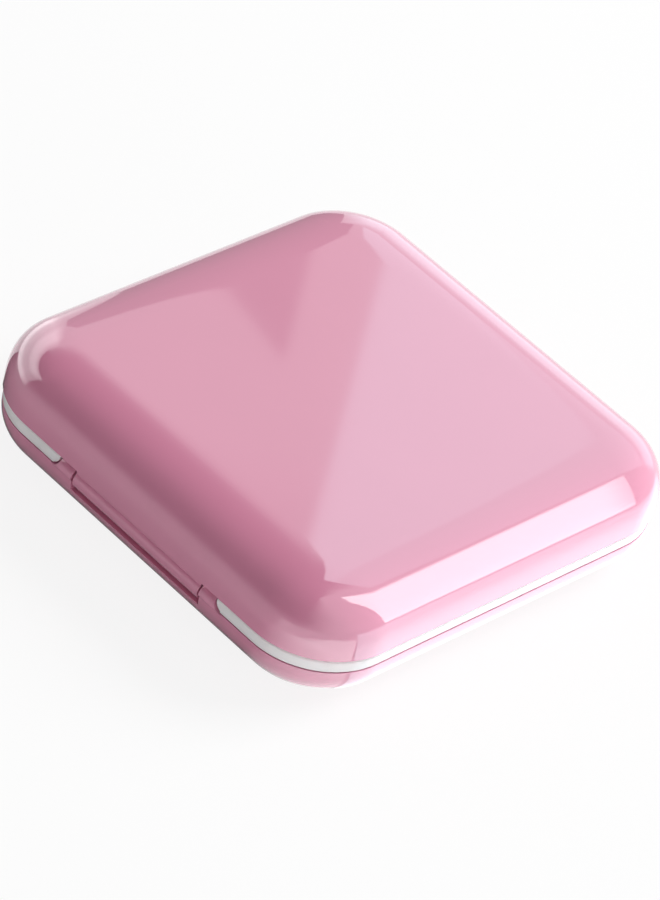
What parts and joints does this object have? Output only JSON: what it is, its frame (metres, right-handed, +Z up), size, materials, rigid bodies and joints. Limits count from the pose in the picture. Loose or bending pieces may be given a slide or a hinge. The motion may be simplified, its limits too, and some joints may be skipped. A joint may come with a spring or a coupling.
{
  "type": "contact lens case",
  "caption": "Square hinged clamshell contact lens case with rounded glossy shells, a moulded inner tray, screw-capped lens wells, tweezers, a suction applicator and a lid mirror.",
  "frame": {"origin": "centre of the underside of the closed case", "axes": "+Z up through the lid, X along the hinge, +Y towards the hinge at the rear"},
  "size_m": [0.072, 0.072, 0.018],
  "materials": {
    "pink_shell": "high gloss moulded",
    "white_tray": "satin moulded",
    "milky_plastic": "milky moulded",
    "pale_pink": "satin moulded",
    "silicone": "soft matte",
    "steel": "drawn wire",
    "mirror": "silvered",
    "tape": "foam tape"
  },
  "bodies": {
    "base": {"base_shell": "pink_shell", "base_tray": "white_tray", "hinge_pin": "steel", "lens_holder": "milky_plastic", "tweezer_bow": "pale_pink", "applicator_handle": "pale_pink", "applicator_cup": "silicone"},
    "lid": {"lid_shell": "pink_shell", "mirror_frame": "white_tray", "mirror": "mirror", "mirror_tape": "tape"},
    "left_seal": {"left_cap_seal": "silicone"},
    "left_cap": {"left_cap": "pale_pink"},
    "right_seal": {"right_cap_seal": "silicone"},
    "right_cap": {"right_cap": "pale_pink"},
    "front_arm": {"tweezer_front_arm": "pale_pink", "tweezer_front_tip": "silicone"},
    "rear_arm": {"tweezer_rear_arm": "pale_pink", "tweezer_rear_tip": "silicone"}
  },
  "joints": [
    {"name": "lid_hinge", "type": "hinge", "parent": "base", "child": "lid", "pos_m": [0, 0.0342, 0.0073], "axis": [-1, 0, 0], "range_deg": [0, 105]},
    {"name": "left_cap_lift", "type": "slide", "parent": "base", "child": "left_seal", "axis": [0, 0, 1], "range_m": [0, 0.00151]},
    {"name": "left_cap_turn", "type": "hinge", "parent": "left_seal", "child": "left_cap", "pos_m": [-0.015, -0.0142, 0.0017], "axis": [0, 0, 1], "range_deg": [0, 180]},
    {"name": "right_cap_lift", "type": "slide", "parent": "base", "child": "right_seal", "axis": [0, 0, 1], "range_m": [0, 0.00151]},
    {"name": "right_cap_turn", "type": "hinge", "parent": "right_seal", "child": "right_cap", "pos_m": [0.015, -0.0142, 0.0017], "axis": [0, 0, 1], "range_deg": [0, 180]},
    {"name": "front_arm_squeeze", "type": "hinge", "parent": "base", "child": "front_arm", "pos_m": [0.0191, 0.00725, 0.007], "axis": [0, 0, -1], "range_deg": [0, 2.4], "stiffness_Nm_per_rad": 0.01},
    {"name": "rear_arm_squeeze", "type": "hinge", "parent": "base", "child": "rear_arm", "pos_m": [0.0191, 0.01075, 0.007], "axis": [0, 0, 1], "range_deg": [0, 2.4], "stiffness_Nm_per_rad": 0.01}
  ],
  "couplings": [
    {"joint": "left_cap_lift", "follows": "left_cap_turn", "m_per_rad": 0.00047746},
    {"joint": "right_cap_lift", "follows": "right_cap_turn", "m_per_rad": 0.00047746},
    {"joint": "rear_arm_squeeze", "follows": "front_arm_squeeze", "ratio": 1}
  ]
}
